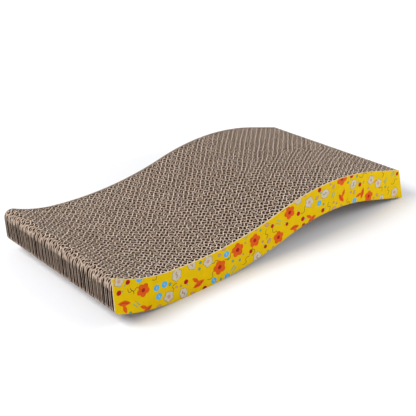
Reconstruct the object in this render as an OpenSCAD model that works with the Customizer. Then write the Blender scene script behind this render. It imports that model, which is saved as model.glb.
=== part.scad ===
// Wave-shaped corrugated cardboard cat scratcher.
// Die-cut double-wall boards stand on edge with their flutes upright and are glued face to face.
// A printed paperboard panel of the same outline covers each side of the stack.
// X runs along the length from the raised lip to the tail, Y across the boards, Z up.
// The origin is on the floor, at the middle of the footprint.

/* [Stack] */
// Number of corrugated boards side by side
board_count = 31; // [3:1:56]
// Thickness of one board over both of its liners
board_t = 6.9; // [4.5:0.1:9]
// Thickness of a printed side panel
panel_t = 1.5; // [0.6:0.1:3]

/* [Flutes] */
// Length of one wave of the coarse flutes
flute_pitch = 8.5; // [6:0.1:12]
// Depth of the coarse flutes, from liner to liner
flute_h = 3.5; // [2:0.1:5]
// Thickness of a liner, the flat paper on each side of the flutes
liner_t = 0.4; // [0.3:0.05:0.8]
// Thickness of the medium, the wavy paper between the liners
medium_t = 0.45; // [0.3:0.05:0.8]

/* [Wave] */
// Thickness of the wave band, square to its curve
band_t = 36.1; // [20:0.1:60]
// Underside radius of the raised lip
lip_r = 198; // [140:1:300]
// Slope of the underside at the lip's end, in degrees
lip_slope = 23; // [15:0.5:28]
// Slope where the lip's curve runs into the valley, in degrees
valley_slope = 5.2; // [2:0.1:10]
// Underside radius of the valley
valley_r = 483; // [350:1:600]
// Slope where the valley turns into the hump, in degrees
rise_slope = 15.1; // [13:0.1:20]
// Underside radius of the hump
hump_r = 264; // [150:1:360]
// Slope of the straight tail, in degrees
tail_slope = 14.7; // [9:0.1:16]

/* [Ends and feet] */
// Lean of the tail's end cut, toe outwards, in degrees
tail_cut_lean = 13.5; // [0:0.5:20]
// Radius of the boards' upper corner at the lip
lip_top_round = 9; // [2:0.5:10]
// Radius of the lower corner at the lip
lip_foot_round = 6; // [2:0.5:10]
// Radius of the printed panels' upper corner at the lip
panel_lip_round = 1.5; // [0.5:0.5:10]
// Radius of the upper corner at the tail
tail_top_round = 3; // [1:0.5:8]
// Depth that the standing edges are pressed flat
foot_flat = 0.3; // [0.1:0.05:0.6]

/* [Hidden] */
// Facets of the circles in the outline
$fn = 360;
// The outline's circles overlap by this much, so that they cross cleanly where they touch
arc_lap = 0.005;
// Share of a flute wave that a cell's open side takes at its liner
cell_base_share = 0.94;
// Steps of the flutes from board to board, and their scatter, as shares of a flute wave
flute_step_share = 0.18;
flute_scatter_share = 0.08;
// Board at which the flutes stop stepping towards the tail and step back, as a share of the stack
turn_board_share = 0.5;
scatter_seed = 7;

core_w = board_count * board_t;
overall_w = core_w + 2 * panel_t;

// The underside's curve, from the lip to the tail: centres of its circles and where they meet
lip_end_x = lip_r * (sin(lip_slope) - sin(valley_slope));
valley_x = lip_end_x + valley_r * sin(valley_slope);
rise_x = valley_x + valley_r * sin(rise_slope);
hump_x = rise_x + hump_r * sin(rise_slope);
tail_x = hump_x + hump_r * sin(tail_slope);
valley_c = [valley_x, valley_r - foot_flat];
lip_c = valley_c - (valley_r - lip_r) * [sin(valley_slope), cos(valley_slope)];
rise_z = valley_c[1] - valley_r * cos(rise_slope);
hump_c = [hump_x, rise_z - hump_r * cos(rise_slope)];
tail_z = hump_c[1] + hump_r * cos(tail_slope);
tail_run = (tail_z + foot_flat) / tan(tail_slope);
overall_l = tail_x + tail_run;

// Where the circles of the upper side meet, square across the band from those below
lip_end_top_x = lip_end_x + band_t * sin(valley_slope);
rise_top_x = rise_x - band_t * sin(rise_slope);
tail_top_x = tail_x + band_t * sin(tail_slope);

// Room around the outline, and a height well over the hump and within the lip's circle
margin = band_t;
sky_z = lip_c[1];

tail_dir = [cos(tail_slope), -sin(tail_slope)];
tail_up = [sin(tail_slope), cos(tail_slope)];
tail_end = [overall_l, -foot_flat];
cut_dir = [-sin(tail_cut_lean), cos(tail_cut_lean)];
cut_out = [cos(tail_cut_lean), sin(tail_cut_lean)];

function two_digits(i) = str(i < 10 ? "0" : "", i);
function board_name(i) = str("board_", two_digits(i));
board_names = [for (i = [1:board_count]) board_name(i)];

// How far along its length each board's flutes start, in flute waves
scatter = rands(-1, 1, board_count, scatter_seed);
turn_board = turn_board_share * board_count;
function flute_start(i) =
    flute_step_share * (turn_board - abs(i - turn_board)) + flute_scatter_share * scatter[i - 1];

module disc(centre, radius) {
    translate(centre) circle(r = radius);
}

// Everything in the box between two places along the length
module span(from_x, to_x) {
    polygon([[from_x, -margin], [to_x, -margin], [to_x, sky_z], [from_x, sky_z]]);
}

// The space under the wave
module space_below() {
    difference() {
        span(-margin, lip_end_x);
        disc(lip_c, lip_r + arc_lap);
    }
    difference() {
        span(-margin, rise_x);
        disc(valley_c, valley_r);
    }
    disc(hump_c, hump_r + arc_lap);
    polygon([
        [tail_x, tail_z],
        tail_end + margin * tail_dir,
        [overall_l + margin, -margin],
        [tail_x, -margin]
    ]);
}

// The space over the wave
module space_above() {
    disc(lip_c, lip_r - band_t + 2 * arc_lap);
    intersection() {
        span(lip_end_top_x, overall_l + margin);
        disc(valley_c, valley_r - band_t + arc_lap);
    }
    difference() {
        span(rise_top_x, tail_top_x);
        disc(hump_c, hump_r + band_t);
    }
    tail_top = tail_end + (band_t - arc_lap) * tail_up;
    polygon([
        tail_top - overall_l * tail_dir,
        tail_top + margin * tail_dir,
        tail_top + margin * tail_dir + sky_z * tail_up,
        tail_top - overall_l * tail_dir + sky_z * tail_up
    ]);
}

// Takes off a corner outside the rounding circle, between the directions a and b
module round_corner(centre, radius, a, b) {
    reach = 2 * radius;
    difference() {
        polygon([centre, centre + reach * a, centre + reach * (a + b), centre + reach * b]);
        disc(centre, radius + arc_lap);
    }
}

// Centre of a corner's rounding, inside the lip's end, at a distance from the lip's centre
function lip_round_centre(radius, distance) =
    [radius, lip_c[1] - sqrt(pow(distance, 2) - pow(lip_c[0] - radius, 2))];

module lip_top_corner(radius) {
    distance = lip_r - band_t + radius;
    centre = lip_round_centre(radius, distance);
    round_corner(centre, radius, [-1, 0], (lip_c - centre) / distance);
}

module lip_foot_corner(radius) {
    distance = lip_r - radius;
    centre = lip_round_centre(radius, distance);
    round_corner(centre, radius, [-1, 0], (centre - lip_c) / distance);
}

module tail_top_corner(radius) {
    // The rounding's centre lies one radius inside both the end cut and the tail's upper side
    along_cut = (band_t - radius + (radius * cut_out - [0, foot_flat]) * tail_up) / (cut_dir * tail_up);
    centre = [overall_l, 0] - radius * cut_out + along_cut * cut_dir;
    round_corner(centre, radius, cut_out, tail_up);
}

// The side view that all boards and panels are cut to
module wave_outline(lip_round) {
    cut_reach = sky_z / cos(tail_cut_lean);
    difference() {
        polygon([[0, 0], [overall_l, 0], [overall_l, 0] + cut_reach * cut_dir, [0, sky_z]]);
        space_below();
        space_above();
        lip_top_corner(lip_round);
        lip_foot_corner(lip_foot_round);
        tail_top_corner(tail_top_round);
    }
}

// A plate cut to the outline, from one place across the stack to another
module die_cut(from_y, thickness, lip_round) {
    translate([-overall_l / 2, from_y + thickness, 0])
        rotate([90, 0, 0])
            linear_extrude(thickness) wave_outline(lip_round);
}

// One three-sided flute cell seen from above, its open side on a liner and its point inwards
module flute_cell(middle_x, base_y, point_y) {
    half = cell_base_share * flute_pitch / 2;
    polygon([[middle_x - half, base_y], [middle_x + half, base_y], [middle_x, point_y]]);
}

// A double-wall sheet seen from above: a liner, the coarse flutes with their wavy medium,
// and the middle liner, fine flutes and last liner as one solid layer
module corrugated_sheet(start) {
    half_wave = flute_pitch / 2;
    first_x = (start - ceil(start)) * flute_pitch;
    back_y = liner_t + flute_h;
    difference() {
        translate([-margin, 0]) square([overall_l + 2 * margin, board_t]);
        for (x = [first_x:flute_pitch:overall_l + half_wave]) {
            flute_cell(x, liner_t, back_y - medium_t);
            flute_cell(x + half_wave, back_y, liner_t + medium_t);
        }
    }
}

module board(i) {
    from_y = -core_w / 2 + (i - 1) * board_t;
    color("burlywood") intersection() {
        die_cut(from_y, board_t, lip_top_round);
        translate([-overall_l / 2, from_y, 0])
            linear_extrude(sky_z) corrugated_sheet(flute_start(i));
    }
}

module front_side_panel() {
    color("gold") die_cut(-overall_w / 2, panel_t, panel_lip_round);
}

module back_side_panel() {
    color("gold") die_cut(core_w / 2, panel_t, lip_top_round);
}

front_side_panel();
for (i = [1:board_count]) {
    board(i);
}
back_side_panel();
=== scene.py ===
"""Looks of the wave-shaped cardboard cat scratcher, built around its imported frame.

The corrugated boards get real liners and wavy mediums, the side panels a printed face,
and a small studio shows them from the photograph's viewpoint. Sizes are in millimetres
until a mesh is made, and Blender's objects are in metres.
"""

import logging
import math
from collections.abc import Callable, Iterator
from dataclasses import dataclass, field
from enum import Enum
from functools import cached_property

import bpy
import numpy as np
from mathutils import Matrix, Vector
from mathutils.geometry import tessellate_polygon


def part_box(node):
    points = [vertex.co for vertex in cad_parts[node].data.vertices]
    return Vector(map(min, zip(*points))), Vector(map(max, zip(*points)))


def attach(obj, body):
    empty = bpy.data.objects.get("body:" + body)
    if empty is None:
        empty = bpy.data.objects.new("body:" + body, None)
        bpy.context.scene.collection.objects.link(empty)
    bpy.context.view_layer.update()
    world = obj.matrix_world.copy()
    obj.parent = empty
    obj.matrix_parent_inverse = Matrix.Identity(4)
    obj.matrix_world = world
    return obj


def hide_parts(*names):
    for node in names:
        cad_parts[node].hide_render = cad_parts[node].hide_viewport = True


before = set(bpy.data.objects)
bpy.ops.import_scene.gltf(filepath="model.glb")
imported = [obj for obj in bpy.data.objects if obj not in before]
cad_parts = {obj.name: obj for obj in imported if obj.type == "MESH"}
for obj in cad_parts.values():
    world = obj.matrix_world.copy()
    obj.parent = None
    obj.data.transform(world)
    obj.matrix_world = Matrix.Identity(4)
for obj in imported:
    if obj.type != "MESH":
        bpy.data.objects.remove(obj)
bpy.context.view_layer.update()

MM = 0.001
ROOT_BODY = "root"
LOG = logging.getLogger("scratcher")


def in_mm(node: str) -> tuple[np.ndarray, np.ndarray]:
    """Gives a frame node's lowest and highest corner in millimetres."""
    low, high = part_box(node)
    return np.array(low) / MM, np.array(high) / MM


def linear(hex_colour: str) -> tuple[float, float, float, float]:
    """Turns an sRGB hex colour into linear light, by the curve of the sRGB standard.

    Args:
        hex_colour: Colour such as "c8a06a".

    Returns:
        Red, green, blue and full alpha.
    """
    parts = [int(hex_colour[i:i + 2], 16) / 255 for i in (0, 2, 4)]
    red, green, blue = (
        p / 12.92 if p <= 0.04045 else ((p + 0.055) / 1.055) ** 2.4 for p in parts
    )
    return red, green, blue, 1.0


def add_node(
    tree: bpy.types.NodeTree,
    kind: str,
    inputs: dict[str, object] | None = None,
    **settings: object,
) -> bpy.types.Node:
    """Adds a node with its settings, values and links.

    Args:
        tree: Node tree that gets the node.
        kind: Blender's name of the node type.
        inputs: Value, or output socket to link, by the identifier of the input.
        **settings: Properties of the node.

    Returns:
        The new node.
    """
    node = tree.nodes.new(kind)
    for name, value in settings.items():
        setattr(node, name, value)
    sockets = {s.identifier: s for s in node.inputs}
    for name, value in (inputs or {}).items():
        if isinstance(value, bpy.types.NodeSocket):
            tree.links.new(value, sockets[name])
        else:
            sockets[name].default_value = value
    return node


def socket(node: bpy.types.Node, identifier: str) -> bpy.types.NodeSocket:
    """Gives a node's output by its identifier, which is unique where names repeat."""
    return next(s for s in node.outputs if s.identifier == identifier)


# Materials


@dataclass(frozen=True)
class Finish:
    """A finish that every paper here shares: a dielectric with a mottled colour and a rough face.

    Attributes:
        name: Name of the material.
        colour: Its lighter tone, as sRGB hex.
        shade: Its darker tone.
        mottle_mm: Size of the patches in which the two tones mix.
        roughness: Roughness of the face.
        specular: Level of its reflection.
        sheen: Soft glow of loose fibres.
        bump_mm: Height of its felt of fibres.
    """

    name: str
    colour: str
    shade: str
    mottle_mm: float
    roughness: float
    specular: float = 0.2
    sheen: float = 0.0
    bump_mm: float = 0.0

    # Most of the noise lies between these values, so there the tones mix
    NOISE_LOW = 0.3
    NOISE_HIGH = 0.7
    # Real fibres are hundredths of a millimetre thick, too fine to show, so the felt is coarser:
    # its fibres are half as wide as the patches
    FIBRE_SHARE = 0.5

    def material(self) -> bpy.types.Material:
        """Gives this finish's material, made once."""
        made = bpy.data.materials.get(self.name)
        return made if made else self.build(bpy.data.materials.new(self.name))

    def build(self, material: bpy.types.Material) -> bpy.types.Material:
        """Fills the material's node tree.

        Args:
            material: New material.

        Returns:
            The same material.
        """
        material.use_nodes = True
        tree = material.node_tree
        tree.nodes.clear()
        place = add_node(tree, "ShaderNodeTexCoord").outputs["Object"]
        noise = add_node(
            tree,
            "ShaderNodeTexNoise",
            {"Vector": place, "Scale": 1 / (self.mottle_mm * MM), "Detail": 3.0, "Roughness": 0.6},
        )
        contrast = add_node(
            tree,
            "ShaderNodeMapRange",
            {
                "Value": noise.outputs["Fac"],
                "From Min": self.NOISE_LOW,
                "From Max": self.NOISE_HIGH,
            },
        )
        surface = {
            "Base Color": self.tint(tree, contrast.outputs["Result"]),
            "Roughness": self.roughness,
            "Specular IOR Level": self.specular,
            "Sheen Weight": self.sheen,
            "Sheen Roughness": 0.6,
        }
        if self.bump_mm:
            surface["Normal"] = self.relief(tree, place)
        shader = add_node(tree, "ShaderNodeBsdfPrincipled", surface)
        add_node(tree, "ShaderNodeOutputMaterial", {"Surface": shader.outputs["BSDF"]})
        return material

    def tint(self, tree: bpy.types.NodeTree, mottle: bpy.types.NodeSocket) -> bpy.types.NodeSocket:
        """Mixes the finish's two tones by the mottle.

        Args:
            tree: Node tree of the material.
            mottle: Pattern from 0 to 1.

        Returns:
            The colour's socket.
        """
        mixed = add_node(
            tree,
            "ShaderNodeMix",
            {"Factor_Float": mottle, "A_Color": linear(self.shade), "B_Color": linear(self.colour)},
            data_type="RGBA",
        )
        return socket(mixed, "Result_Color")

    def relief(self, tree: bpy.types.NodeTree, place: bpy.types.NodeSocket) -> bpy.types.NodeSocket:
        """Raises a fine felt of fibres.

        Args:
            tree: Node tree of the material.
            place: Object coordinates.

        Returns:
            The normal's socket.
        """
        scale = 1 / (self.FIBRE_SHARE * self.mottle_mm * MM)
        fibres = add_node(
            tree, "ShaderNodeTexNoise", {"Vector": place, "Scale": scale, "Detail": 4.0}
        )
        bump = add_node(
            tree,
            "ShaderNodeBump",
            {"Height": fibres.outputs["Fac"], "Distance": self.bump_mm * MM, "Strength": 0.6},
        )
        return bump.outputs["Normal"]


@dataclass(frozen=True)
class KraftFinish(Finish):
    """Kraft paper of calendered brown fibre: sheets differ in tone, and painted shade darkens them
    down inside the flutes.

    Attributes:
        odd: Tone that sheets differ towards.
        painted_shade: Painted shade down inside, where next to no light comes back out.
        painted_shade_mm: Depth below a cut edge at which the painted shade is full.
    """

    odd: str = "6e5848"
    # Painted shade: the paper darkens towards this near-black with depth below a cut edge
    painted_shade: str = "1e0c02"
    painted_shade_mm: float = 0.25

    def tint(self, tree: bpy.types.NodeTree, mottle: bpy.types.NodeSocket) -> bpy.types.NodeSocket:
        """Adds the sheet's own tone and the painted shade down inside the flutes to the mottled
        colour.

        Args:
            tree: Node tree of the material.
            mottle: Pattern from 0 to 1.

        Returns:
            The colour's socket.
        """
        colour = super().tint(tree, mottle)
        tone = add_node(tree, "ShaderNodeAttribute", attribute_name=PaperMesh.TONE).outputs["Fac"]
        # Painted shade: its share grows from nothing at a cut edge to full at the set depth below
        # it
        depth = add_node(tree, "ShaderNodeAttribute", attribute_name=PaperMesh.DEPTH).outputs["Fac"]
        down = add_node(tree, "ShaderNodeMapRange", {"Value": depth, "From Max": self.painted_shade_mm})
        for share, other in ((tone, self.odd), (down.outputs["Result"], self.painted_shade)):
            mixed = add_node(
                tree,
                "ShaderNodeMix",
                {"Factor_Float": share, "A_Color": colour, "B_Color": linear(other)},
                data_type="RGBA",
            )
            colour = socket(mixed, "Result_Color")
        return colour


@dataclass(frozen=True)
class PrintedFinish(Finish):
    """Offset print under a satin varnish, on board whose flutes show through as faint waves.

    Attributes:
        wave_mm: Length of the waves, that of the flutes behind the panel.
        wave_height_mm: Height of the waves.
    """

    wave_mm: float = 8.5
    wave_height_mm: float = 0.06

    # Length of one band of Blender's wave pattern at scale 1
    BAND_PERIOD = 2 * math.pi / 20

    def relief(self, tree: bpy.types.NodeTree, place: bpy.types.NodeSocket) -> bpy.types.NodeSocket:
        """Lets the flutes behind the print show as shallow waves along the panel.

        Args:
            tree: Node tree of the material.
            place: Object coordinates.

        Returns:
            The normal's socket.
        """
        scale = self.BAND_PERIOD / (self.wave_mm * MM)
        waves = add_node(
            tree,
            "ShaderNodeTexWave",
            {"Vector": place, "Scale": scale, "Distortion": 0.4},
            bands_direction="X",
        )
        bump = add_node(
            tree,
            "ShaderNodeBump",
            {
                "Height": waves.outputs["Fac"],
                "Distance": self.wave_height_mm * MM,
                "Strength": 0.5,
                "Normal": super().relief(tree, place),
            },
        )
        return bump.outputs["Normal"]


# Inside faces of the liners: matt grey-brown kraft, made of recycled fibre, so cool, and cloudy in
# patches of two to three millimetres where the fibres clump.
LINER_FACE = KraftFinish("kraft_liner_face", "9c897c", "7c6a5e", 2.5, 0.9, bump_mm=0.08)
# The medium: thinner and softer fluting paper, steamed into waves, a little greyer than the liner.
MEDIUM_FACE = KraftFinish("kraft_medium_face", "968375", "756357", 2.5, 0.92, bump_mm=0.08)
# Die-cut kraft edges: torn fibre ends scatter the light, so they are the palest of the paper.
CUT_EDGE = KraftFinish("kraft_cut_edge", "f2decd", "b0967f", 2.4, 0.95, sheen=0.1, bump_mm=0.1)
# Yellow offset ink on white-lined board under satin varnish: even, saturated, softly glossy.
YELLOW_PRINT = PrintedFinish(
    "yellow_offset_print", "e8c200", "e0b900", 9.0, 0.5, specular=0.04, bump_mm=0.01
)
# Cut edge of the panels' bleached paperboard: cream, matt, slightly furry.
PANEL_EDGE = Finish("paperboard_cut_edge", "d8c6a0", "bca67c", 1.5, 0.9, bump_mm=0.05)
# Cut edge of the far panel: its kraft back shows there, grey-brown like the boards.
KRAFT_EDGE = Finish("paperboard_kraft_edge", "9c8b7c", "5c4c40", 1.6, 0.95, bump_mm=0.05)
# Unprinted inner side of the panels, plain grey-brown board.
PANEL_BACK = Finish("paperboard_back", "b59d84", "9c846c", 3.0, 0.9, bump_mm=0.05)


class Ink(Enum):
    """Inks of the print's motifs: opaque spot colours under the same satin varnish."""

    ORANGE = PrintedFinish("orange_ink", "e2600f", "d4540c", 4.0, 0.5, 0.08)
    RED = PrintedFinish("dark_red_ink", "b81c18", "a41614", 4.0, 0.5, 0.08)
    BLUE = PrintedFinish("light_blue_ink", "5ab8ea", "48a4dc", 4.0, 0.5, 0.08)
    TEAL = PrintedFinish("teal_ink", "5fae9c", "54a08c", 4.0, 0.5, 0.08)
    GREY = PrintedFinish("grey_white_ink", "d4cab6", "c4b9a4", 4.0, 0.5, 0.08)
    PINK = PrintedFinish("pink_grey_ink", "d0a48c", "c0947c", 4.0, 0.5, 0.08)
    BROWN = PrintedFinish("brown_line_ink", "8a5a1e", "7c4f18", 4.0, 0.5, 0.08)


# The side view


@dataclass(frozen=True)
class WaveOutline:
    """Side view of the wave in mm: x runs from the lip's end, z from the floor.

    It has the sizes of the part's solids.

    Attributes:
        band: Thickness of the wave band, square to its curve.
        lip_r: Underside radius of the raised lip.
        lip_slope: Slope of the underside at the lip's end.
        valley_slope: Slope where the lip's curve runs into the valley.
        valley_r: Underside radius of the valley.
        rise_slope: Slope where the valley turns into the hump.
        hump_r: Underside radius of the hump.
        tail_slope: Slope of the straight tail.
        cut_lean: Lean of the tail's end cut, toe outwards.
        lip_round: Radius of the boards' upper corner at the lip.
        foot_round: Radius of the lower corner at the lip.
        tail_round: Radius of the upper corner at the tail.
        foot_flat: Depth that the standing edges are pressed flat.
        toe: Height of the blunt toe.
        turn_points: Number of places over the turn of the lip's corner.
        fall_points: Number of places from the tail's corner to the toe.
        least_gap: Least gap between two places, as a share of their usual distance.
    """

    band: float = 36.1
    lip_r: float = 198.0
    lip_slope: float = math.radians(23)
    valley_slope: float = math.radians(5.2)
    valley_r: float = 483.0
    rise_slope: float = math.radians(15.1)
    hump_r: float = 264.0
    tail_slope: float = math.radians(14.7)
    cut_lean: float = math.radians(13.5)
    lip_round: float = 9.0
    foot_round: float = 6.0
    tail_round: float = 3.0
    foot_flat: float = 0.3
    toe: float = 0.6
    turn_points: int = 9
    fall_points: int = 11
    least_gap: float = 0.03

    @cached_property
    def lip_end_x(self) -> float:
        """Where the lip's circle runs into the valley."""
        return self.lip_r * (math.sin(self.lip_slope) - math.sin(self.valley_slope))

    @cached_property
    def valley_c(self) -> np.ndarray:
        """Centre of the valley's circle."""
        x = self.lip_end_x + self.valley_r * math.sin(self.valley_slope)
        return np.array([x, self.valley_r - self.foot_flat])

    @cached_property
    def lip_c(self) -> np.ndarray:
        """Centre of the lip's circle."""
        away = np.array([math.sin(self.valley_slope), math.cos(self.valley_slope)])
        return self.valley_c - (self.valley_r - self.lip_r) * away

    @cached_property
    def rise_x(self) -> float:
        """Where the valley turns into the hump."""
        return self.valley_c[0] + self.valley_r * math.sin(self.rise_slope)

    @cached_property
    def hump_c(self) -> np.ndarray:
        """Finds the hump's circle, which touches the valley's where the slope turns.

        Returns:
            Its centre.
        """
        rise_z = self.valley_c[1] - self.valley_r * math.cos(self.rise_slope)
        away = np.array([math.sin(self.rise_slope), -math.cos(self.rise_slope)])
        return np.array([self.rise_x, rise_z]) + self.hump_r * away

    @cached_property
    def tail(self) -> np.ndarray:
        """Where the hump runs into the straight tail."""
        away = np.array([math.sin(self.tail_slope), math.cos(self.tail_slope)])
        return self.hump_c + self.hump_r * away

    @cached_property
    def length(self) -> float:
        """Length of the footprint."""
        return self.tail[0] + (self.tail[1] + self.foot_flat) / math.tan(self.tail_slope)

    @cached_property
    def last_x(self) -> float:
        """Where a cut sheet ends, at the top of its blunt toe."""
        return self.length - self.toe * math.tan(self.cut_lean)

    @cached_property
    def tail_corner(self) -> np.ndarray:
        """Finds the rounding of the tail's upper corner, inside its end cut and its upper side.

        Returns:
            The rounding's centre.
        """
        up = np.array([math.sin(self.tail_slope), math.cos(self.tail_slope)])
        out = np.array([math.cos(self.cut_lean), math.sin(self.cut_lean)])
        cut = np.array([-math.sin(self.cut_lean), math.cos(self.cut_lean)])
        short = (self.tail_round * out - [0, self.foot_flat]) @ up
        along = (self.band - self.tail_round + short) / (cut @ up)
        return np.array([self.length, 0]) - self.tail_round * out + along * cut

    def curve(self, x: np.ndarray, up: float) -> np.ndarray:
        """Gives the height of the wave's curve, a distance above the underside.

        Args:
            x: Places along the length.
            up: Distance square to the underside.

        Returns:
            The heights.
        """
        joints = [
            self.lip_end_x + up * math.sin(self.valley_slope),
            self.rise_x - up * math.sin(self.rise_slope),
            self.tail[0] + up * math.sin(self.tail_slope),
        ]
        lip = self.lip_c[1] - _drop(x - self.lip_c[0], self.lip_r - up)
        valley = self.valley_c[1] - _drop(x - self.valley_c[0], self.valley_r - up)
        hump = self.hump_c[1] + _drop(x - self.hump_c[0], self.hump_r + up)
        tail = (self.length - x) * math.tan(self.tail_slope) - self.foot_flat
        tail = tail + up / math.cos(self.tail_slope)
        return np.select([x < j for j in joints], [lip, valley, hump], tail)

    def top(self, x: np.ndarray, lip_round: float) -> np.ndarray:
        """Gives the height of the upper side, with its corners rounded and its end cut.

        Args:
            x: Places along the length.
            lip_round: Radius of the corner at the lip.

        Returns:
            The heights.
        """
        reach = self.lip_r - self.band + lip_round
        centre = self._lip_corner(lip_round, reach)
        meets = lip_round + lip_round * (self.lip_c[0] - lip_round) / reach
        rounded = centre + _drop(x - lip_round, lip_round)
        height = np.where(x < meets, rounded, self.curve(x, self.band))
        corner = self.tail_corner
        from_x = corner[0] + self.tail_round * math.sin(self.tail_slope)
        to_x = corner[0] + self.tail_round * math.cos(self.cut_lean)
        over = corner[1] + _drop(x - corner[0], self.tail_round)
        cut = (self.length - x) / math.tan(self.cut_lean)
        return np.where(x < from_x, height, np.where(x < to_x, over, cut))

    def bottom(self, x: np.ndarray) -> np.ndarray:
        """Gives the height of the underside, its foot rounded and pressed flat on the floor.

        Args:
            x: Places along the length.

        Returns:
            The heights.
        """
        reach = self.lip_r - self.foot_round
        centre = self._lip_corner(self.foot_round, reach)
        meets = self.foot_round - self.foot_round * (self.lip_c[0] - self.foot_round) / reach
        rounded = centre - _drop(x - self.foot_round, self.foot_round)
        return np.maximum(0, np.where(x < meets, rounded, self.curve(x, 0)))

    def _lip_corner(self, radius: float, reach: float) -> float:
        """Height of a rounding's centre at the lip's end, that far from the lip's centre."""
        return self.lip_c[1] - math.sqrt(reach**2 - (self.lip_c[0] - radius) ** 2)

    def stations(self, spacing: float, from_x: float, to_x: float) -> np.ndarray:
        """Spreads places along a stretch, denser where the outline turns down at its ends.

        Args:
            spacing: Distance between the places.
            from_x: Start of the stretch.
            to_x: End of the stretch.

        Returns:
            The places, in order.
        """
        even = np.linspace(from_x, to_x, max(2, round((to_x - from_x) / spacing) + 1))
        turn = self.lip_round * (1 - np.cos(np.linspace(0, math.pi / 2, self.turn_points)))
        fall = np.linspace(self.tail_corner[0], self.last_x, self.fall_points)
        ends = np.concatenate([turn, fall])
        ends = ends[(ends > from_x) & (ends < to_x)]
        places = np.sort(np.concatenate([even, ends]))
        keep = np.append(True, np.diff(places) > self.least_gap * spacing)
        return places[keep]


def _drop(across: np.ndarray, radius: float) -> np.ndarray:
    """Height of a circle over its centre's level, that far to the side of the centre."""
    return np.sqrt(np.maximum(radius**2 - across**2, 0))


OUTLINE = WaveOutline()


# Meshes


class Side(Enum):
    """What a face of a sheet shows, by its place among the piece's materials.

    The second wall is the medium on a board and the print on a panel.
    """

    WALL = 0
    RIM = 1
    SECOND_WALL = 2


@dataclass
class PaperMesh:
    """Collects standing sheets of paper, cut to the wave, and makes them one object."""

    TONE = "tone"
    # Depth below the nearest cut edge, which sets the painted shade inside the flutes
    DEPTH = "cut_depth"
    # Light reaches further in at the cut ends, where the flutes lie open, than down from the top,
    # so there the painted shade starts further in
    END_DIM = 0.42

    points: list[np.ndarray] = field(default_factory=list)
    quads: list[np.ndarray] = field(default_factory=list)
    slots: list[np.ndarray] = field(default_factory=list)
    smooth: list[np.ndarray] = field(default_factory=list)
    tones: list[np.ndarray] = field(default_factory=list)
    depths: list[np.ndarray] = field(default_factory=list)
    count: int = 0

    def add_sheet(
        self,
        path: np.ndarray,
        thickness: float,
        lip_round: float = OUTLINE.lip_round,
        levels: tuple[float, ...] = (0.0, 1.0),
        flare: np.ndarray | float = 0.0,
        nap: np.ndarray | float = 0.0,
        sway: np.ndarray | float = 0.0,
        tone: np.ndarray | float = 0.0,
        wall: Side = Side.WALL,
    ) -> None:
        """Adds one upright sheet as a closed shell.

        Args:
            path: Points (x, y) of the sheet's middle line, seen from above.
            thickness: Thickness of the sheet.
            lip_round: Radius of its upper corner at the lip.
            levels: Heights of the rows of points, as shares from the bottom to the top.
            flare: How much thicker the sheet is at each point, side and level, as a share.
            nap: How far the upper edge falls short, at each point, side and level.
            sway: Sideways shift at each point, side and level.
            tone: Share of the odd tone in the sheet's colour, at each point, side and level.
            wall: What the sheet's faces show.
        """
        along = np.gradient(path, axis=0)
        along /= np.linalg.norm(along, axis=1, keepdims=True)
        square = np.stack([-along[:, 1], along[:, 0]], axis=1) * thickness / 2
        sides = np.stack([square, -square], axis=1)[:, :, None]
        thicker = np.zeros((len(path), 2, len(levels))) + flare
        plan = path[:, None, None] + sides * (1 + thicker[..., None])
        x = np.clip(plan[..., 0], 0, OUTLINE.last_x)
        low = OUTLINE.bottom(x)
        high = OUTLINE.top(x, lip_round) - nap
        z = low + (high - low) * np.array(levels)
        block = np.stack([x - OUTLINE.length / 2, plan[..., 1] + sway, z], axis=-1)
        index = np.arange(x.size).reshape(x.shape) + self.count
        self.points.append(block.reshape(-1, 3))
        self.count += index.size
        self.tones.append((np.zeros(x.shape) + tone).ravel())
        # Depth for the painted shade of the flutes: below the nearest cut edge, and counted shorter
        # from the cut ends
        from_end = np.minimum(x, OUTLINE.last_x - x)
        from_edge = np.minimum(high - z, z - low)
        self.depths.append(np.minimum(from_edge, self.END_DIM * from_end).ravel())
        left, right = index[:, 0], index[:, 1]
        for side, corners in (
            (wall, (left[:-1, :-1], left[:-1, 1:], left[1:, 1:], left[1:, :-1])),
            (wall, (right[:-1, :-1], right[1:, :-1], right[1:, 1:], right[:-1, 1:])),
            (Side.RIM, (right[:-1, -1], right[1:, -1], left[1:, -1], left[:-1, -1])),
            (Side.RIM, (left[:-1, 0], left[1:, 0], right[1:, 0], right[:-1, 0])),
            (Side.RIM, (left[0, :-1], right[0, :-1], right[0, 1:], left[0, 1:])),
            (Side.RIM, (right[-1, :-1], left[-1, :-1], left[-1, 1:], right[-1, 1:])),
        ):
            self._add_quads(corners, side)

    def _add_quads(self, corners: tuple[np.ndarray, ...], side: Side) -> None:
        """Adds the quads of one side of a sheet.

        Args:
            corners: Indices of their first, second, third and fourth corners.
            side: What they show. All but the rims are shaded smooth.
        """
        quads = np.stack([c.ravel() for c in corners], axis=1)
        self.quads.append(quads)
        self.slots.append(np.full(len(quads), side.value, np.int32))
        self.smooth.append(np.full(len(quads), side is not Side.RIM))

    def make(self, name: str, finishes: list[Finish]) -> bpy.types.Object:
        """Makes the collected sheets one object.

        Args:
            name: Name of the piece.
            finishes: Finish of each side, in the order of its values.

        Returns:
            The object, in the scene.
        """
        mesh = bpy.data.meshes.new(name)
        points = np.concatenate(self.points) * MM
        mesh.from_pydata(points.tolist(), [], np.concatenate(self.quads).tolist())
        mesh.polygons.foreach_set("material_index", np.concatenate(self.slots))
        mesh.polygons.foreach_set("use_smooth", np.concatenate(self.smooth))
        for label, values in ((self.TONE, self.tones), (self.DEPTH, self.depths)):
            layer = mesh.attributes.new(label, "FLOAT", "POINT")
            layer.data.foreach_set("value", np.concatenate(values).astype(np.float32))
        return place_piece(mesh, finishes)


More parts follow.
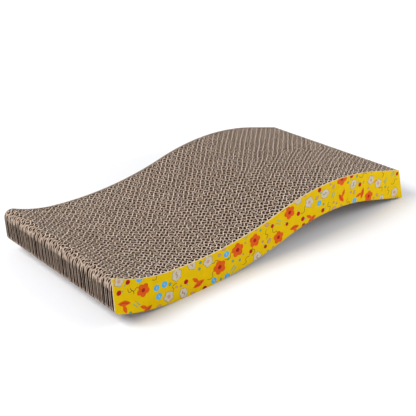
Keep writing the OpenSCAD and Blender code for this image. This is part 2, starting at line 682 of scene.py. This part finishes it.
def place_piece(mesh: bpy.types.Mesh, finishes: list[Finish]) -> bpy.types.Object:
    """Puts a mesh into the scene as a piece that rides on the part's one body.

    Args:
        mesh: Mesh in the part's frame, in metres.
        finishes: Finish of each material slot.

    Returns:
        The piece.
    """
    for finish in finishes:
        mesh.materials.append(finish.material())
    mesh.update()
    piece = bpy.data.objects.new(mesh.name, mesh)
    bpy.context.scene.collection.objects.link(piece)
    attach(piece, ROOT_BODY)
    LOG.info("%s: %d faces", piece.name, len(mesh.polygons))
    return piece


# Sub-assemblies


@dataclass(frozen=True)
class Flutes:
    """One layer of flutes.

    Attributes:
        depth: Depth between its liners.
        pitch: Length of a wave.
        medium: Thickness of its wavy paper.
        spread: How much thicker that paper's frayed cut edge is, as a share. It is more than on
            real paper, whose edges of a third of a millimetre would be too fine to show.
        steps_per_wave: Points along a wave.
    """

    depth: float
    pitch: float
    medium: float
    spread: float
    steps_per_wave: int


@dataclass
class CorrugatedBoard:
    """One double-wall board on edge: three liners, with coarse and fine flutes between them.

    Attributes:
        number: Number of the board, counted from the near side.
        liner: Depth that a liner takes up in the board.
        paper: Thickness of the liner's paper.
        coarse: Layer of flutes behind the front liner.
        fine: Layer of flutes before the back liner.
        glued_in: Depth that a medium's crests sink into the liners.
        steep: Steepness of the waves' flanks, which near 0 would be a sine's.
        drift: How far each wave of their slow wander shifts the flutes, as a share of a flute.
        drift_lengths: Lengths of the wander's waves.
        drift_points: Places along the board at which the wander is worked out.
        liner_step: Distance between a liner's points.
        liner_bend: Usual sideways shift of a liner's upper edge.
        medium_bend: Usual sideways shift of a medium's upper edge.
        bend_step: Distance between the bends of an upper edge.
        bend_blend: Shares of a bend and its neighbours that make it smooth.
        levels: Heights of the rows of points, as shares from the bottom to the top.
        end_levels: The same, near the cut ends.
        end_zone: Length of the crushed stretch at a cut end.
        crush: Furthest sideways shift of a crushed medium.
        liner_crush: Furthest sideways shift of a crushed liner.
        nap: Most that an upper edge falls short by its torn fibres.
        burr: Most that they thicken a cut edge, as a share.
        pressed: How much thicker the edges at the lip's corner are pressed, as a share.
        pressed_part: Least and most of that which a sheet gets.
        pressed_zone: Length of the pressed stretch.
        lip_end_tone: Share of the odd tone at the lip's end, which is darker there.
        odd_share: Most of the odd tone that chance gives a sheet.
        liner_tone: Share of it that every liner has besides.
        patch: Rough length of the patches in which a sheet's tone varies.
        patch_ratio: How much longer the second set of patches is.
        patch_share: How much the patches add to the tone or take off it.
        first_seed: Seed of chance, to which the board's number is added.
        slot: Material slot of the part's record; not used.
    """

    number: int
    liner: float = 0.4
    paper: float = 0.3
    coarse: Flutes = Flutes(3.5, 8.5, 0.34, 2.1, 16)
    fine: Flutes = Flutes(2.2, 6.5, 0.3, 1.2, 14)
    glued_in: float = 0.04
    steep: float = 1.7
    drift: float = 0.035
    drift_lengths: tuple[float, ...] = (37.0, 83.0, 190.0)
    drift_points: int = 200
    liner_step: float = 2.5
    liner_bend: float = 0.12
    medium_bend: float = 0.15
    bend_step: float = 4.0
    bend_blend: tuple[float, ...] = (0.3, 0.4, 0.3)
    levels: tuple[float, ...] = (0.0, 0.04, 0.96, 1.0)
    end_levels: tuple[float, ...] = (0.0, 0.1, 0.33, 0.56, 0.78, 0.9, 1.0)
    end_zone: float = 14.0
    crush: float = 0.6
    liner_crush: float = 0.2
    nap: float = 0.3
    burr: float = 0.4
    pressed: float = 1.5
    pressed_part: tuple[float, float] = (0.6, 1.0)
    pressed_zone: float = 8.0
    lip_end_tone: float = 0.52
    odd_share: float = 0.25
    liner_tone: float = 0.85
    patch: float = 6.0
    patch_ratio: float = 2.3
    patch_share: float = 0.12
    first_seed: int = 1000
    slot: str = "corrugated_board"

    def __post_init__(self) -> None:
        """Reads the board's place and the start of its flutes from the frame."""
        self.node = f"board_{self.number:02d}"
        low, high = in_mm(self.node)
        self.from_y, self.thickness = low[1], high[1] - low[1]
        self.chance = np.random.default_rng(self.first_seed + self.number)
        self.start = self._flute_start()
        self.sheets = PaperMesh()

    def _flute_start(self) -> float:
        """Finds where the coarse flutes start from the cells' corners on the front liner.

        Returns:
            Place of the first flute's middle, as a share of a wave.
        """
        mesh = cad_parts[self.node].data
        points = np.empty(len(mesh.vertices) * 3, np.float32)
        mesh.vertices.foreach_get("co", points)
        points = points.reshape(-1, 3) / MM
        tolerance = self.liner / 10
        on_liner = np.abs(points[:, 1] - self.from_y - self.liner) < tolerance
        x = points[on_liner, 0] + OUTLINE.length / 2
        # A cell's corners lie near half a wave from its middle, so their mean points away from it
        mean = np.exp(2j * math.pi * x / self.coarse.pitch).mean()
        return float(np.angle(-mean) / (2 * math.pi))

    def _drifting(self, x: np.ndarray) -> np.ndarray:
        """Lets the flutes wander slowly along the board.

        Args:
            x: Places along the board.

        Returns:
            The wander at each, as a share of a wave.
        """
        total = np.zeros_like(x)
        for length in self.drift_lengths:
            total += np.sin(2 * math.pi * (x / length + self.chance.random()))
        return total * self.drift

    def _zones(self) -> Iterator[tuple[float, float, tuple[float, ...]]]:
        """Parts the board into its middle and its crushed ends, which take more rows of points.

        Yields:
            A stretch's start and end, and the levels of its rows of points.
        """
        inner = OUTLINE.last_x - self.end_zone
        yield 0.0, self.end_zone, self.end_levels
        yield self.end_zone, inner, self.levels
        yield inner, OUTLINE.last_x, self.end_levels

    def _sway(self, x: np.ndarray, levels: tuple[float, ...], room: float) -> np.ndarray | float:
        """Crushes a sheet sideways at the board's cut ends, differently up its height.

        Args:
            x: Places of the sheet's points.
            levels: Heights of its rows of points, as shares.
            room: Furthest shift.

        Returns:
            The shift at each point, side and level.
        """
        if levels == self.levels:
            return 0.0
        from_end = np.minimum(x, OUTLINE.last_x - x)
        fade = np.clip(1 - from_end / self.end_zone, 0, 1) ** 2
        bend = np.cumsum(self.chance.uniform(-1, 1, len(levels)))
        bend = bend - (bend[0] + (bend[-1] - bend[0]) * np.array(levels)) * self.chance.random()
        bend = room * bend / max(np.abs(bend).max(), 1)
        return fade[:, None, None] * bend

    def _flare(self, x: np.ndarray, levels: tuple[float, ...], spread: float) -> np.ndarray:
        """Spreads a sheet's cut edges: frayed everywhere, and pressed wide at the lip's corners.

        Args:
            x: Places of the sheet's points.
            levels: Heights of its rows of points, as shares.
            spread: How much thicker the frayed edge is, as a share.

        Returns:
            How much thicker the sheet is at each point, side and level, as a share.
        """
        flare = np.zeros((len(x), 2, len(levels)))
        near = np.clip(1 - x / self.pressed_zone, 0, 1)
        # It stays wide by the corner and then falls off smoothly
        pressed = self.pressed * near * (2 - near) * self.chance.uniform(*self.pressed_part)
        for edge in (0, -1):
            burr = self.burr * self.chance.random((len(x), 2))
            flare[..., edge] = spread + pressed[:, None] + burr
        return flare

    def _nap(self, x: np.ndarray) -> np.ndarray:
        """How far a sheet's cut edge falls short at each point, by its torn fibres."""
        return self.nap * self.chance.random((len(x), 2, 1)) ** 2

    def _bend(self, room: float) -> tuple[np.ndarray, np.ndarray]:
        """Bends a sheet's upper edge to and fro along the board, by seeded chance.

        Args:
            room: Usual sideways shift.

        Returns:
            Places along the board and the shift at each.
        """
        at = np.arange(0, OUTLINE.length + self.liner_step, self.bend_step)
        loose = self.chance.normal(0, room, len(at))
        return at, np.convolve(loose, self.bend_blend, "same")

    def _tone(self, x: np.ndarray, tone: float) -> np.ndarray:
        """Varies a sheet's tone along the board, and darkens it towards the lip's end.

        Args:
            x: Places of the sheet's points.
            tone: The sheet's own share of the odd tone.

        Returns:
            The share at each point, for all sides and levels.
        """
        phase = 2 * math.pi * tone / self.odd_share
        long_patch = self.patch_ratio * self.patch
        patches = np.sin(x / self.patch + phase) * np.sin(x / long_patch + 2 * phase)
        # The darker tone at the lip's end is full over half of the pressed stretch and fades over
        # the other half
        at_lip = np.clip(2 - 2 * x / self.pressed_zone, 0, 1)
        tone = tone + (self.lip_end_tone - tone) * at_lip
        return np.clip(tone + self.patch_share * patches, 0, 1)[:, None, None]

    def _add_paper(
        self,
        middle: Callable[[np.ndarray], np.ndarray],
        step: float,
        thickness: float,
        bend: float,
        crush: float,
        tone: float,
        spread: float = 0.0,
        wall: Side = Side.WALL,
    ) -> None:
        """Adds one sheet of paper along the whole board.

        Args:
            middle: Gives the place of its middle across the stack, for places along the board.
            step: Distance between its points.
            thickness: Thickness of the paper.
            bend: Usual sideways shift of its upper edge.
            crush: Furthest sideways shift at the board's cut ends.
            tone: Share of the odd tone in its colour.
            spread: How much thicker its frayed edge is, as a share.
            wall: What its faces show.
        """
        bend_at, shift = self._bend(bend)
        for from_x, to_x, levels in self._zones():
            x = OUTLINE.stations(step, from_x, to_x)
            flare = self._flare(x, levels, spread)
            nap = self._nap(x)
            # Only the top row of points leans over
            lean = np.interp(x, bend_at, shift)[:, None, None] * (np.array(levels) == 1)
            self.sheets.add_sheet(
                np.stack([x, middle(x)], axis=1),
                thickness,
                levels=levels,
                flare=flare,
                nap=nap,
                sway=self._sway(x, levels, crush) + lean,
                tone=self._tone(x, tone),
                wall=wall,
            )

    def _add_liner(self, behind: float, tone: float) -> None:
        """Adds a liner.

        Args:
            behind: How far it starts behind the board's front.
            tone: Share of the odd tone in its colour.
        """
        y = self.from_y + behind + self.liner / 2
        self._add_paper(
            lambda x: np.full_like(x, y),
            self.liner_step,
            self.paper,
            self.liner_bend,
            self.liner_crush,
            tone,
        )

    def _add_medium(self, flutes: Flutes, behind: float, start: float, tone: float) -> None:
        """Adds a medium: it waves from liner to liner, glued into them at its crests.

        Args:
            flutes: The layer that it makes.
            behind: How far the layer starts behind the board's front.
            start: Place of the first flute's middle, as a share of a wave.
            tone: Share of the odd tone in its colour.
        """
        reach = (flutes.depth - flutes.medium) / 2 + self.glued_in
        drift_at = np.linspace(0, OUTLINE.length, self.drift_points)
        drift = self._drifting(drift_at)

        def middle(x: np.ndarray) -> np.ndarray:
            """Waves the medium's middle line.

            Args:
                x: Places along the board.

            Returns:
                Its place across the stack at each.
            """
            turn = 2 * math.pi * (x / flutes.pitch - start + np.interp(x, drift_at, drift))
            wave = np.tanh(self.steep * np.cos(turn)) / math.tanh(self.steep)
            return self.from_y + behind + flutes.depth / 2 + reach * wave

        self._add_paper(
            middle,
            flutes.pitch / flutes.steps_per_wave,
            flutes.medium,
            self.medium_bend,
            self.crush,
            tone,
            flutes.spread,
            Side.SECOND_WALL,
        )

    def build(self) -> bpy.types.Object:
        """Builds the board and puts it in its node's place.

        Returns:
            The board's piece.
        """
        papers = 5
        tones = self.odd_share * self.chance.random(papers)
        middle_liner = self.liner + self.coarse.depth
        self._add_liner(0.0, self.liner_tone + tones[0])
        self._add_medium(self.coarse, self.liner, self.start, tones[1])
        self._add_liner(middle_liner, self.liner_tone + tones[2])
        self._add_medium(self.fine, middle_liner + self.liner, self.chance.random(), tones[3])
        self._add_liner(self.thickness - self.liner, self.liner_tone + tones[4])
        piece = self.sheets.make(f"{self.node}_paper", [LINER_FACE, CUT_EDGE, MEDIUM_FACE])
        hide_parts(self.node)
        return piece


@dataclass
class SidePanel:
    """A side panel: paperboard with a printed outer face and a cut edge.

    Attributes:
        node: Frame node of the panel.
        outwards: Way that its printed face looks along y, 1 or -1.
        lip_round: Radius of its upper corner at the lip.
        seed: Seed of its print's layout.
        edge: Finish of its cut edge.
        step: Distance between its points.
        facing: How squarely a face looks outwards, from 0 to 1, to be the printed one.
        edge_round: Width of its worn, rounded edges.
        round_steps: Faces across such an edge.
        sharp: Least angle of an edge that is worn round.
        slot: Material slot of the part's record; not used.
    """

    node: str
    outwards: int
    lip_round: float
    seed: int
    edge: Finish
    step: float = 4.0
    facing: float = 0.9
    edge_round: float = 0.15
    round_steps: int = 2
    sharp: float = math.radians(50)
    slot: str = "printed_panel"

    def build(self) -> bpy.types.Object:
        """Builds the panel and its print.

        Returns:
            The panel's piece.
        """
        low, high = in_mm(self.node)
        paper = PaperMesh()
        x = OUTLINE.stations(self.step, 0.0, OUTLINE.last_x)
        path = np.stack([x, np.full_like(x, (low[1] + high[1]) / 2)], axis=1)
        paper.add_sheet(path, high[1] - low[1], lip_round=self.lip_round)
        piece = paper.make(f"{self.node}_board", [PANEL_BACK, self.edge, YELLOW_PRINT])
        for face in piece.data.polygons:
            face.use_smooth = False
            if face.normal.y * self.outwards > self.facing:
                face.material_index = Side.SECOND_WALL.value
        soften = piece.modifiers.new("worn_edges", "BEVEL")
        soften.width = self.edge_round * MM
        soften.segments = self.round_steps
        soften.angle_limit = self.sharp
        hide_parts(self.node)
        face_y = (high if self.outwards > 0 else low)[1]
        self.dress(face_y)
        return piece

    def dress(self, face_y: float) -> None:
        """Prints the motifs on the panel's outer face."""
        PanelPrint(f"{self.node}_print", face_y, self.outwards, self.lip_round, self.seed).build()


# The print


class Form(Enum):
    """Outlines of the print's shapes."""

    DISC = "disc"
    BLOSSOM = "blossom"
    LEAF = "leaf"
    BEAN = "bean"
    CLOUD = "cloud"
    STROKE = "stroke"
    CURL = "curl"


def form_loop(form: Form, size: float) -> np.ndarray:
    """Gives a shape's loop of points around its own middle.

    Args:
        form: Which outline.
        size: Half its length in mm.

    Returns:
        Points (across, up).
    """
    points = 40
    turn = np.linspace(0, 2 * math.pi, points, endpoint=False)
    across, up = np.cos(turn), np.sin(turn)
    match form:
        case Form.DISC:
            reach = np.ones_like(turn)
        case Form.BLOSSOM:
            petals, notch = 5, 0.26
            reach = 1 - notch + notch * np.abs(np.cos(petals / 2 * turn))
        case Form.LEAF:
            slim, point = 0.42, 1.3
            reach = (np.abs(across) ** point + np.abs(up / slim) ** point) ** (-1 / point)
        case Form.BEAN:
            slim = 0.62
            reach = (across**2 + (up / slim) ** 2) ** -0.5
        case Form.CLOUD:
            puffs, notch, flat = 6, 0.16, 0.2
            reach = (1 - notch + notch * np.abs(np.cos(puffs / 2 * turn))) * (1 - flat * np.abs(up))
        case _:
            return stroke_loop(form, size)
    return size * np.stack([reach * across, reach * up], axis=1)


def stroke_loop(form: Form, size: float) -> np.ndarray:
    """Gives the loop around a pen stroke.

    Args:
        form: A straight stroke or a curl.
        size: Half its length in mm.

    Returns:
        Points (across, up).
    """
    width = 0.65
    if form is Form.STROKE:
        points, bow, bend = 4, 0.12, 2
        t = np.linspace(-1, 1, points)
        line = np.stack([t, bow * np.cos(bend * t)], axis=1)
    else:
        # A wave whose line swings to and fro as it goes
        points, swing, swings, height, waves = 16, 0.15, 5, 0.35, 3.6
        t = np.linspace(-1, 1, points)
        line = np.stack([t - swing * np.sin(swings * t), height * np.sin(waves * t)], axis=1)
    line = size * line
    along = np.gradient(line, axis=0)
    along /= np.linalg.norm(along, axis=1, keepdims=True)
    square = width / 2 * np.stack([-along[:, 1], along[:, 0]], axis=1)
    return np.concatenate([line + square, (line - square)[::-1]])


def turned(points: np.ndarray, angle: float) -> np.ndarray:
    """Turns points about the origin."""
    c, s = math.cos(angle), math.sin(angle)
    return points @ np.array([[c, s], [-s, c]])


@dataclass(frozen=True)
class Shape:
    """One flat shape of a motif.

    Attributes:
        form: Its outline.
        ink: Its colour.
        size: Half its size, as a share of half the motif's.
        at: Its place from the motif's middle, as such shares.
        turned: How far it is turned.
        lined: Whether a brown line goes round it.
    """

    form: Form
    ink: Ink
    size: float = 1.0
    at: tuple[float, float] = (0.0, 0.0)
    turned: float = 0.0
    lined: bool = False


@dataclass(frozen=True)
class Motif:
    """A motif: its shapes, half its size in mm at least and at most, and how many a panel has."""

    shapes: tuple[Shape, ...]
    least: float
    most: float
    count: int


# The largest motifs come first, so that they find room
MOTIFS = {
    "poppy": Motif(
        (
            Shape(Form.CURL, Ink.BROWN, 0.8, (-0.5, -1.2), 1.2),
            Shape(Form.BLOSSOM, Ink.ORANGE),
            Shape(Form.DISC, Ink.RED, 0.28),
        ),
        7.0,
        8.6,
        8,
    ),
    "cloud": Motif(
        (Shape(Form.CLOUD, Ink.GREY, lined=True), Shape(Form.CURL, Ink.BROWN, 0.4)), 6.2, 7.6, 8
    ),
    "leaves": Motif(
        (
            Shape(Form.LEAF, Ink.ORANGE, 1.0, (0.0, 0.3), 0.3),
            Shape(Form.LEAF, Ink.ORANGE, 0.7, (0.5, -0.4), -0.7),
            Shape(Form.STROKE, Ink.RED, 0.6, (0.0, 0.3), 0.3),
        ),
        6.6,
        8.0,
        7,
    ),
    "daisy": Motif(
        (
            Shape(Form.CURL, Ink.BROWN, 0.8, (0.6, -1.2), 2.0),
            Shape(Form.BLOSSOM, Ink.GREY, 0.9, lined=True),
            Shape(Form.DISC, Ink.PINK, 0.3),
        ),
        6.2,
        7.4,
        7,
    ),
    "rain": Motif(
        tuple(
            Shape(Form.STROKE, Ink.TEAL, 0.3, (0.6 * column, 0.7 * row), 0.5)
            for column in (-1, 0, 1)
            for row in (-0.5, 0.5)
        ),
        4.0,
        5.0,
        7,
    ),
    "curl": Motif((Shape(Form.CURL, Ink.BROWN),), 4.5, 6.0, 10),
    "ball": Motif((Shape(Form.DISC, Ink.BLUE), Shape(Form.STROKE, Ink.GREY, 0.4)), 3.3, 4.0, 9),
    "berry": Motif(
        (Shape(Form.DISC, Ink.RED), Shape(Form.LEAF, Ink.TEAL, 0.6, (1.3, 0.8), 0.6)), 2.2, 3.0, 16
    ),
    "petal": Motif((Shape(Form.BEAN, Ink.PINK, lined=True),), 2.2, 3.2, 16),
    "bud": Motif((Shape(Form.DISC, Ink.TEAL, lined=True),), 1.1, 1.6, 14),
    "dot": Motif((Shape(Form.DISC, Ink.PINK, lined=True),), 0.9, 1.3, 16),
}


@dataclass
class PanelPrint:
    """The motifs printed over a panel, as films of ink cut off where the panel is cut.

    Attributes:
        name: Name of the print's piece.
        face_y: Place of the printed face across the stack.
        outwards: Way that it looks along y, 1 or -1.
        lip_round: Radius of the panel's upper corner at the lip.
        seed: Seed of the layout.
        tries: Spots tried for each motif.
        bare_toe: Length of the thin toe that has no motif's middle.
        gap: Least gap between motifs.
        film: Step in height from one film of ink to the next.
        sunk: Depth that a film's slab reaches into the panel.
        line: Width of a line round a shape.
        edge: Width of the panel's rim that stays free of ink.
        least_side: Shortest side that a film's outline keeps.
    """

    name: str
    face_y: float
    outwards: int
    lip_round: float
    seed: int
    tries: int = 60
    bare_toe: float = 12.0
    gap: float = 1.8
    film: float = 0.02
    sunk: float = 0.2
    line: float = 0.35
    edge: float = 0.3
    least_side: float = 0.02

    def __post_init__(self) -> None:
        """Starts with no ink on the panel."""
        self.chance = np.random.default_rng(self.seed)
        self.points: list[tuple[float, float, float]] = []
        self.faces: list[tuple[int, ...]] = []
        self.slots: list[int] = []
        self.inks = list(Ink)

    def _places(self) -> Iterator[tuple[Motif, np.ndarray, float]]:
        """Scatters motifs that keep clear of each other, by seeded chance.

        Yields:
            A motif, its middle and half its size.
        """
        placed: list[tuple[np.ndarray, float]] = []
        for motif in MOTIFS.values():
            for _ in range(motif.count):
                half = self.chance.uniform(motif.least, motif.most)
                spot = self._free_spot(half, placed)
                if spot is not None:
                    placed.append((spot, half))
                    yield motif, spot, half

    def _free_spot(self, half: float, placed: list[tuple[np.ndarray, float]]) -> np.ndarray | None:
        """Looks for room on the panel.

        Args:
            half: Half the size of the motif that needs it.
            placed: Middles and half sizes of the motifs so far.

        Returns:
            The spot (x, z), or nothing if no try finds one.
        """
        for _ in range(self.tries):
            x = self.chance.uniform(half, OUTLINE.length - self.bare_toe)
            low = float(OUTLINE.bottom(np.array(x)))
            high = float(OUTLINE.top(np.array(x), self.lip_round))
            spot = np.array([x, self.chance.uniform(low, high)])
            if all(np.linalg.norm(spot - p) > half + r + self.gap for p, r in placed):
                return spot
        return None

    def _cut(self, loop: np.ndarray) -> np.ndarray:
        """Cuts a loop off at the panel's edges by drawing its outer points onto them.

        Args:
            loop: Points (x, z).

        Returns:
            The points that are left, without sides that are too short.
        """
        x = np.clip(loop[:, 0], self.edge, OUTLINE.last_x - self.edge)
        low = OUTLINE.bottom(x) + self.edge
        high = np.maximum(OUTLINE.top(x, self.lip_round) - self.edge, low + self.least_side)
        loop = np.stack([x, np.clip(loop[:, 1], low, high)], axis=1)
        sides = np.linalg.norm(loop - np.roll(loop, 1, axis=0), axis=1)
        return loop[sides > self.least_side]

    def _add_film(self, loop: np.ndarray, ink: Ink, layer: int) -> None:
        """Adds one film of ink: a thin closed slab over the panel's face.

        Args:
            loop: Its outline (x, z).
            ink: Its colour.
            layer: How many films lie under it.
        """
        loop = self._cut(loop)
        if len(loop) < 3:
            return
        caps = tessellate_polygon([[Vector((x, z, 0)) for x, z in loop]])
        outer = self.face_y + self.outwards * self.film * (layer + 1)
        inner = self.face_y - self.outwards * self.sunk
        base, n = len(self.points), len(loop)
        for y in (outer, inner):
            self.points += [((x - OUTLINE.length / 2) * MM, y * MM, z * MM) for x, z in loop]
        sides = [(base + i, base + (i + 1) % n) for i in range(n)]
        faces = [tuple(base + i for i in tri) for tri in caps]
        faces += [tuple(base + n + i for i in reversed(tri)) for tri in caps]
        faces += [(i, j, j + n, i + n) for i, j in sides]
        self.faces += faces
        self.slots += [self.inks.index(ink)] * len(faces)

    def _add_motif(self, motif: Motif, spot: np.ndarray, half: float) -> None:
        """Prints one motif, turned by chance.

        Args:
            motif: The motif.
            spot: Its middle (x, z).
            half: Half its size.
        """
        whole_turn = self.chance.uniform(0, 2 * math.pi)
        for number, shape in enumerate(motif.shapes):
            loop = form_loop(shape.form, half * shape.size)
            loop = turned(loop, shape.turned) + np.array(shape.at) * half
            loop = turned(loop, whole_turn) + spot
            # Each shape has two films: its line, if it has one, lies under its own ink
            if shape.lined:
                middle = loop.mean(axis=0)
                away = loop - middle
                away *= 1 + self.line / np.linalg.norm(away, axis=1, keepdims=True)
                self._add_film(middle + away, Ink.BROWN, 2 * number)
            self._add_film(loop, shape.ink, 2 * number + 1)

    def build(self) -> bpy.types.Object:
        """Builds the print.

        Returns:
            The print's piece.
        """
        for motif, spot, half in self._places():
            self._add_motif(motif, spot, half)
        mesh = bpy.data.meshes.new(self.name)
        mesh.from_pydata(self.points, [], self.faces)
        mesh.polygons.foreach_set("material_index", self.slots)
        mesh.validate()
        piece = place_piece(mesh, [ink.value for ink in self.inks])
        return piece


# The studio


@dataclass(frozen=True)
class PhotoCamera:
    """The photograph's viewpoint, fitted to the object's outline in it.

    Attributes:
        place: Place of the camera in mm.
        yaw: How far the view is turned from y towards x.
        down: How far it looks down.
        roll: How far the camera is rolled about the view.
        focal_px: Focal length in pixels of the photograph.
        picture_px: Width of the photograph in pixels.
        sensor_mm: Width of the camera's sensor.
    """

    place: tuple[float, float, float] = (-576.47, -704.18, 454.86)
    yaw: float = math.radians(38.86)
    down: float = math.radians(25.52)
    roll: float = math.radians(-2.4)
    focal_px: float = 851.4
    picture_px: float = 416.0
    sensor_mm: float = 36.0

    def build(self) -> None:
        """Adds the camera and makes it the scene's."""
        data = bpy.data.cameras.new("photo_camera")
        data.sensor_width = self.sensor_mm
        data.lens = self.focal_px / self.picture_px * self.sensor_mm
        level = math.cos(self.down)
        ahead = (math.sin(self.yaw) * level, math.cos(self.yaw) * level, -math.sin(self.down))
        view = Vector(ahead)
        right = Vector((math.cos(self.yaw), -math.sin(self.yaw), 0))
        up = right.cross(view)
        c, s = math.cos(self.roll), math.sin(self.roll)
        right, up = c * right + s * up, c * up - s * right
        camera = bpy.data.objects.new("photo_camera", data)
        turn = Matrix((right, up, -view)).transposed().to_4x4()
        camera.matrix_world = Matrix.Translation(Vector(self.place) * MM) @ turn
        bpy.context.scene.collection.objects.link(camera)
        bpy.context.scene.camera = camera


@dataclass(frozen=True)
class Softbox:
    """A square area lamp that faces the object: place and size in metres, power in watts."""

    name: str
    place: tuple[float, float, float]
    size: float
    power: float
    aim: tuple[float, float, float] = (0.0, 0.0, 0.03)

    def build(self) -> None:
        """Adds the lamp."""
        data = bpy.data.lights.new(self.name, "AREA")
        data.size = self.size
        data.energy = self.power
        lamp = bpy.data.objects.new(self.name, data)
        lamp.location = self.place
        aim = Vector(self.aim) - lamp.location
        lamp.rotation_euler = aim.to_track_quat("-Z", "Y").to_euler()
        bpy.context.scene.collection.objects.link(lamp)


@dataclass(frozen=True)
class Studio:
    """A white table in a white room, lit from all round, from high on the left and from the right.

    Attributes:
        floor_size: Width of the table's top in metres.
        floor_colour: Its colour, as sRGB hex.
        floor_lift: Glow that the eye sees on it by the object, of which 1 would be white.
        far_lift: The same far from the object.
        sweep: Distances in metres between which the one turns into the other.
        room_light: Strength of the light from all round, of which 1 would be white.
        softboxes: The lamps.
    """

    floor_size: float = 12.0
    floor_colour: str = "f2f3f6"
    floor_lift: float = 0.02
    far_lift: float = 0.8
    sweep: tuple[float, float] = (0.24, 0.6)
    room_light: float = 0.42
    softboxes: tuple[Softbox, ...] = (
        Softbox("key_left", (-1.1, 0.32, 1.22), 0.8, 23.0),
        Softbox("fill_right_front", (0.85, -0.6, 0.45), 0.7, 5.9),
    )

    def build(self) -> None:
        """Builds floor, room, lamps and camera, and sets the plain view transform."""
        self._floor()
        self._room()
        for softbox in self.softboxes:
            softbox.build()
        PhotoCamera().build()
        bpy.context.scene.view_settings.view_transform = "Standard"

    def _seen(self, tree: bpy.types.NodeTree) -> bpy.types.NodeSocket:
        """Tells where the camera sees a surface directly, in a mirror or through glass.

        Args:
            tree: Node tree that asks.

        Returns:
            A socket that is 1 there and 0 elsewhere.
        """
        path = add_node(tree, "ShaderNodeLightPath").outputs
        seen = path["Is Camera Ray"]
        for ray in ("Is Glossy Ray", "Is Transmission Ray"):
            either = {"Value": seen, "Value_001": path[ray]}
            seen = add_node(tree, "ShaderNodeMath", either, operation="MAXIMUM").outputs[0]
        return seen

    def _floor(self) -> None:
        """Adds the pale floor, which away from the part brightens into the room's white."""
        bpy.ops.mesh.primitive_plane_add(size=self.floor_size)
        floor = bpy.context.object
        floor.name = "studio_floor"
        material = bpy.data.materials.new("matt_white_table")
        material.use_nodes = True
        tree = material.node_tree
        tree.nodes.clear()
        matt = add_node(tree, "ShaderNodeBsdfDiffuse", {"Color": linear(self.floor_colour)})
        place = add_node(tree, "ShaderNodeTexCoord").outputs["Object"]
        away = add_node(tree, "ShaderNodeVectorMath", {"Vector": place}, operation="LENGTH")
        swept = add_node(
            tree,
            "ShaderNodeMapRange",
            {
                "Value": socket(away, "Value"),
                "From Min": self.sweep[0],
                "From Max": self.sweep[1],
                "To Min": self.floor_lift,
                "To Max": self.far_lift,
            },
        )
        lift = add_node(
            tree,
            "ShaderNodeMath",
            {"Value": self._seen(tree), "Value_001": swept.outputs["Result"]},
            operation="MULTIPLY",
        )
        glow = add_node(tree, "ShaderNodeEmission", {"Strength": lift.outputs[0]})
        layers = {"Shader": matt.outputs[0], "Shader_001": glow.outputs[0]}
        both = add_node(tree, "ShaderNodeAddShader", layers)
        add_node(tree, "ShaderNodeOutputMaterial", {"Surface": both.outputs[0]})
        floor.data.materials.append(material)

    def _room(self) -> None:
        """Fills the world: white to the eye, and a plain level of light all round."""
        world = bpy.data.worlds.new("white_room")
        bpy.context.scene.world = world
        world.use_nodes = True
        tree = world.node_tree
        tree.nodes.clear()
        strength = add_node(
            tree,
            "ShaderNodeMapRange",
            {"Value": self._seen(tree), "To Min": self.room_light, "To Max": 1.0},
        )
        back = add_node(
            tree,
            "ShaderNodeBackground",
            {"Color": (1, 1, 1, 1), "Strength": strength.outputs["Result"]},
        )
        add_node(tree, "ShaderNodeOutputWorld", {"Surface": back.outputs[0]})


@dataclass
class Scratcher:
    """The whole scratcher: the stack of boards between its two printed panels."""

    panels: tuple[SidePanel, ...] = (
        SidePanel("front_side_panel", -1, 1.5, 14, PANEL_EDGE),
        SidePanel("back_side_panel", 1, 9.0, 23, KRAFT_EDGE),
    )

    def build(self) -> None:
        """Builds the boards in order, then the panels."""
        numbers = sorted(int(n[-2:]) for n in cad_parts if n.startswith("board_"))
        for number in numbers:
            CorrugatedBoard(number).build()
        for panel in self.panels:
            panel.build()


def main() -> None:
    """Builds the scratcher and its studio."""
    logging.basicConfig(level=logging.INFO, format="%(name)s: %(message)s")
    Scratcher().build()
    Studio().build()


if __name__ == "__main__":
    main()
